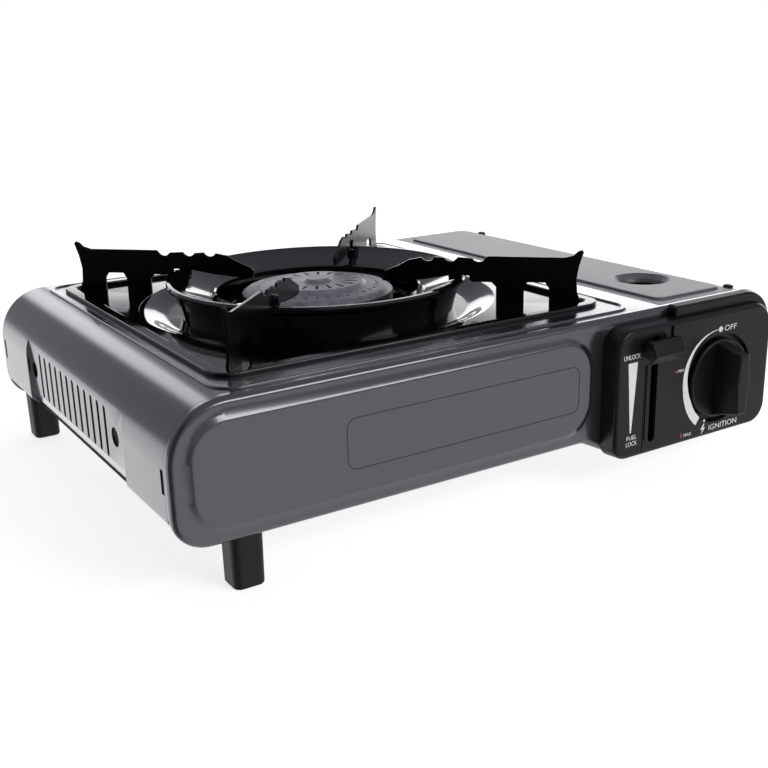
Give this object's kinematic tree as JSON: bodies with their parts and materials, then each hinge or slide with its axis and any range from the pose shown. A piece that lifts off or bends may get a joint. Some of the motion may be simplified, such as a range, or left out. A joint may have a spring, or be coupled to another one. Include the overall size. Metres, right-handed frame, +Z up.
{
  "type": "portable butane camping stove",
  "caption": "Portable butane camping stove with lift-off drip tray and pan support, hinged canister lid, rotary gas knob and lock lever.",
  "frame": {"origin": "on the ground under the middle of the stove, in the plane of the foot bottoms", "axes": "+X from the burner to the canister bay, -Y towards the controls, +Z up"},
  "size_m": [0.342, 0.2796, 0.113],
  "materials": {
    "grey_body": "gloss",
    "lid_grey": "satin",
    "panel_black": "satin",
    "knob_black": "satin",
    "foot_black": "matte",
    "enamel_black": "gloss",
    "zinc_steel": "satin",
    "cast_alloy": "cast",
    "brass": "satin",
    "rubber_black": "matte",
    "ceramic_white": "gloss",
    "igniter_black": "matte"
  },
  "bodies": {
    "chassis": {"body_shell": "grey_body", "front_panel": "grey_body", "back_panel": "grey_body", "bottom_plate": "zinc_steel", "bay_tub": "zinc_steel", "bay_divider": "zinc_steel", "heat_plate": "cast_alloy", "canister_cradle": "zinc_steel", "lid_hinge_pins": "zinc_steel", "foot_front_left": "foot_black", "foot_back_left": "foot_black", "foot_front_right": "foot_black", "foot_back_right": "foot_black", "foot_screws": "zinc_steel", "panel_screws": "zinc_steel", "control_panel": "panel_black", "lever_bracket": "zinc_steel", "lever_pin": "zinc_steel", "regulator_body": "cast_alloy", "regulator_cover": "zinc_steel", "regulator_screws": "zinc_steel", "canister_connector": "brass", "connector_seal": "rubber_black", "jet_nozzle": "brass", "mixing_tube": "zinc_steel", "burner_body": "cast_alloy", "burner_cap": "cast_alloy", "burner_bracket": "zinc_steel", "bracket_screws": "zinc_steel", "piezo_body": "igniter_black", "piezo_clip": "zinc_steel", "igniter_wire": "igniter_black", "electrode_insulator": "ceramic_white", "electrode_rod": "zinc_steel", "electrode_clip": "zinc_steel"},
    "lid": {"canister_lid": "lid_grey", "lid_bumpers": "rubber_black"},
    "knob": {"control_knob": "knob_black", "valve_spindle": "zinc_steel", "ignition_cam": "knob_black"},
    "lever": {"lock_lever": "zinc_steel", "lever_paddle": "panel_black"},
    "pusher": {"canister_pusher": "zinc_steel"},
    "plunger": {"piezo_plunger": "igniter_black"},
    "pan_support": {"drip_tray": "enamel_black", "wind_ring": "enamel_black", "fin_rivets": "zinc_steel", "fin_front_left": "enamel_black", "fin_front_right": "enamel_black", "fin_back_left": "enamel_black", "fin_back_right": "enamel_black"}
  },
  "joints": [
    {"name": "lid_hinge", "type": "hinge", "parent": "chassis", "child": "lid", "pos_m": [0.1676, 0.012, 0.062], "axis": [0, 1, 0], "range_deg": [0, 90]},
    {"name": "knob_turn", "type": "hinge", "parent": "chassis", "child": "knob", "pos_m": [0.124, -0.12, 0.0456], "axis": [0, -1, 0], "range_deg": [0, 155]},
    {"name": "lever_swing", "type": "hinge", "parent": "chassis", "child": "lever", "pos_m": [0.0768, -0.07875, 0.049], "axis": [1, 0, 0], "range_deg": [0, 44.8]},
    {"name": "pusher_slide", "type": "slide", "parent": "chassis", "child": "pusher", "axis": [0, -1, 0], "range_m": [0, 0.006]},
    {"name": "plunger_slide", "type": "slide", "parent": "chassis", "child": "plunger", "axis": [-1, 0, 0], "range_m": [0, 0.004]},
    {"name": "pan_support_lift", "type": "slide", "parent": "chassis", "child": "pan_support", "axis": [0, 0, 1], "range_m": [0, 0.06]}
  ],
  "couplings": [
    {"joint": "pusher_slide", "follows": "lever_swing", "m_per_rad": 0.00767},
    {"joint": "plunger_slide", "follows": "knob_turn", "m_per_rad": 0.001478}
  ]
}
